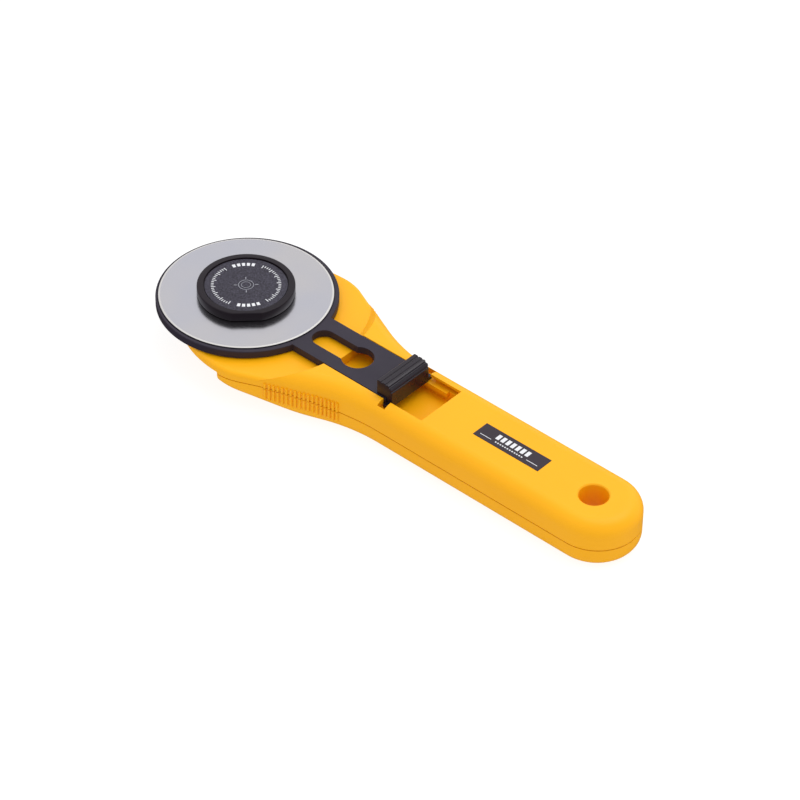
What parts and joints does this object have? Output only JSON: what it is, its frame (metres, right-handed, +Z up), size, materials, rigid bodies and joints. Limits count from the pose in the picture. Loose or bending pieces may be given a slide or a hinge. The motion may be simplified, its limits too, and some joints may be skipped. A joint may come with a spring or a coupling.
{
  "type": "rotary cutter",
  "caption": "Handheld rotary fabric cutter with a large disc blade on a screwed pivot, a sliding blade guard with a thumb slide, and a long hollow handle with a hang hole.",
  "frame": {"origin": "under the middle of the outer box, on the plane the flat back of the handle rests on", "axes": "+X from the blade to the tail of the handle, +Y to the side, +Z up out of the blade's cap side"},
  "size_m": [0.2006, 0.0646, 0.0233],
  "materials": {
    "yellow_abs": "fine satin moulded plastic, warm yellow",
    "guard_black": "fine matt moulded plastic, near black",
    "slide_black": "smooth moulded plastic, black",
    "cap_black": "black plastic with a finely grained face",
    "blade_steel": "satin tool steel with a bright ground rim",
    "bright_steel": "plated steel",
    "spring_steel": "spring steel strip",
    "label_foil": "black foil label with thin pale lines"
  },
  "bodies": {
    "handle": {"handle_upper_shell": "yellow_abs", "handle_lower_shell": "yellow_abs", "label_plate": "label_foil"},
    "guard": {"blade_guard": "guard_black", "thumb_slide": "slide_black"},
    "pivot": {"pivot_bolt": "bright_steel", "bolt_cap": "cap_black"},
    "blade": {"rotary_blade": "blade_steel"},
    "washer": {"wave_washer": "spring_steel"},
    "nut": {"nut_knob": "cap_black", "nut_insert": "bright_steel"}
  },
  "joints": [
    {"name": "guard_slide", "type": "slide", "parent": "handle", "child": "guard", "axis": [1, 0, 0], "range_m": [0, 0.0115]},
    {"name": "bolt_lift", "type": "slide", "parent": "handle", "child": "pivot", "axis": [0, 0, 1], "range_m": [0, 0.022]},
    {"name": "blade_spin", "type": "hinge", "parent": "pivot", "child": "blade", "pos_m": [-0.06947, 0, 0.01785], "axis": [0, 0, 1], "continuous": true},
    {"name": "washer_drop", "type": "slide", "parent": "handle", "child": "washer", "axis": [0, 0, -1], "range_m": [0, 0.005]},
    {"name": "nut_turn", "type": "hinge", "parent": "washer", "child": "nut", "pos_m": [-0.06947, 0, 0.0065], "axis": [0, 0, -1], "range_deg": [0, 1805]}
  ],
  "couplings": [
    {"joint": "nut_turn", "follows": "washer_drop", "rad_per_m": 6283.2}
  ]
}
